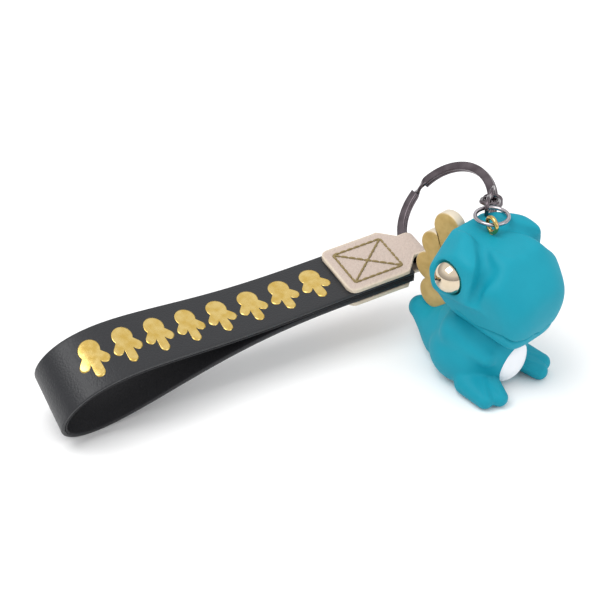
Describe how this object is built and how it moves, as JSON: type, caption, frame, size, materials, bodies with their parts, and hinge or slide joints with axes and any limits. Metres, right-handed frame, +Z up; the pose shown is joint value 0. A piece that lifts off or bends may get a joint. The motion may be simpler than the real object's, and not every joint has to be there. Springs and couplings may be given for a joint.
{
  "type": "dinosaur figure keychain",
  "caption": "Keychain with a seated hollow vinyl dinosaur figure, a short link chain, a split ring and a folded leather wrist strap with a stitched tab.",
  "frame": {"origin": "middle of the figure's flat underside, on the floor", "axes": "+Z up, the figure faces -Y, +X is the figure's left; the strap runs off towards -X"},
  "size_m": [0.1342, 0.0906, 0.0502],
  "materials": {
    "teal_vinyl": "matte soft-touch",
    "gold_paint": "satin",
    "mirror_plating": "polished",
    "white_paint": "satin",
    "plain_plastic": "matte",
    "gilt_steel": "polished",
    "gunmetal": "polished",
    "black_leather": "semi-matte",
    "lining_leather": "matte",
    "beige_leather": "pebbled",
    "khaki_thread": "matte",
    "gold_foil": "bright"
  },
  "bodies": {
    "figure": {"head_shell": "teal_vinyl", "crest": "gold_paint", "eye_left": "mirror_plating", "eye_right": "mirror_plating", "body_shell": "teal_vinyl", "neck_plug": "plain_plastic", "belly_panel": "white_paint", "anchor_plug": "plain_plastic", "screw_eye": "gilt_steel"},
    "jump_ring": {"jump_ring": "gunmetal"},
    "link_1": {"chain_link_1": "gunmetal"},
    "link_2": {"chain_link_2": "gunmetal"},
    "link_3": {"chain_link_3": "gunmetal"},
    "link_4": {"chain_link_4": "gunmetal"},
    "split_ring": {"split_ring": "gunmetal"},
    "strap": {"tab_leather_fold": "beige_leather", "strap_skin": "black_leather", "strap_lining": "lining_leather", "stitches_front": "khaki_thread", "stitches_back": "khaki_thread", "foil_marks": "gold_foil"}
  },
  "joints": [
    {"name": "jump_ring_swing", "type": "hinge", "parent": "figure", "child": "jump_ring", "pos_m": [0, 0.0006, 0.0476], "axis": [0.6428, -0.766, 0], "range_deg": [-1, 40]},
    {"name": "link_1_swing", "type": "hinge", "parent": "jump_ring", "child": "link_1", "pos_m": [0.0059, 0.00715, 0.0476], "axis": [0.5446, -0.8387, 0], "range_deg": [-3, 15]},
    {"name": "link_2_swing", "type": "hinge", "parent": "link_1", "child": "link_2", "pos_m": [0.00991, 0.00975, 0.04609], "axis": [0.2522, 0.1638, 0.9537], "range_deg": [-7, 4]},
    {"name": "link_3_swing", "type": "hinge", "parent": "link_2", "child": "link_3", "pos_m": [0.01442, 0.01268, 0.0444], "axis": [0.5446, -0.8387, 0], "range_deg": [-3, 12]},
    {"name": "link_4_swing", "type": "hinge", "parent": "link_3", "child": "link_4", "pos_m": [0.01893, 0.01561, 0.0427], "axis": [0.2522, 0.1638, 0.9537], "range_deg": [-7, 4]},
    {"name": "ring_swing", "type": "hinge", "parent": "link_4", "child": "split_ring", "pos_m": [0.02043, 0.01655, 0.03885], "axis": [0.6906, 0.518, 0.5048], "range_deg": [-3, 8.5]},
    {"name": "tab_swing", "type": "hinge", "parent": "split_ring", "child": "strap", "pos_m": [0.0063, 0.0336, 0.02136], "axis": [0.2692, 0.9514, 0.1495], "range_deg": [-6, 36]}
  ]
}
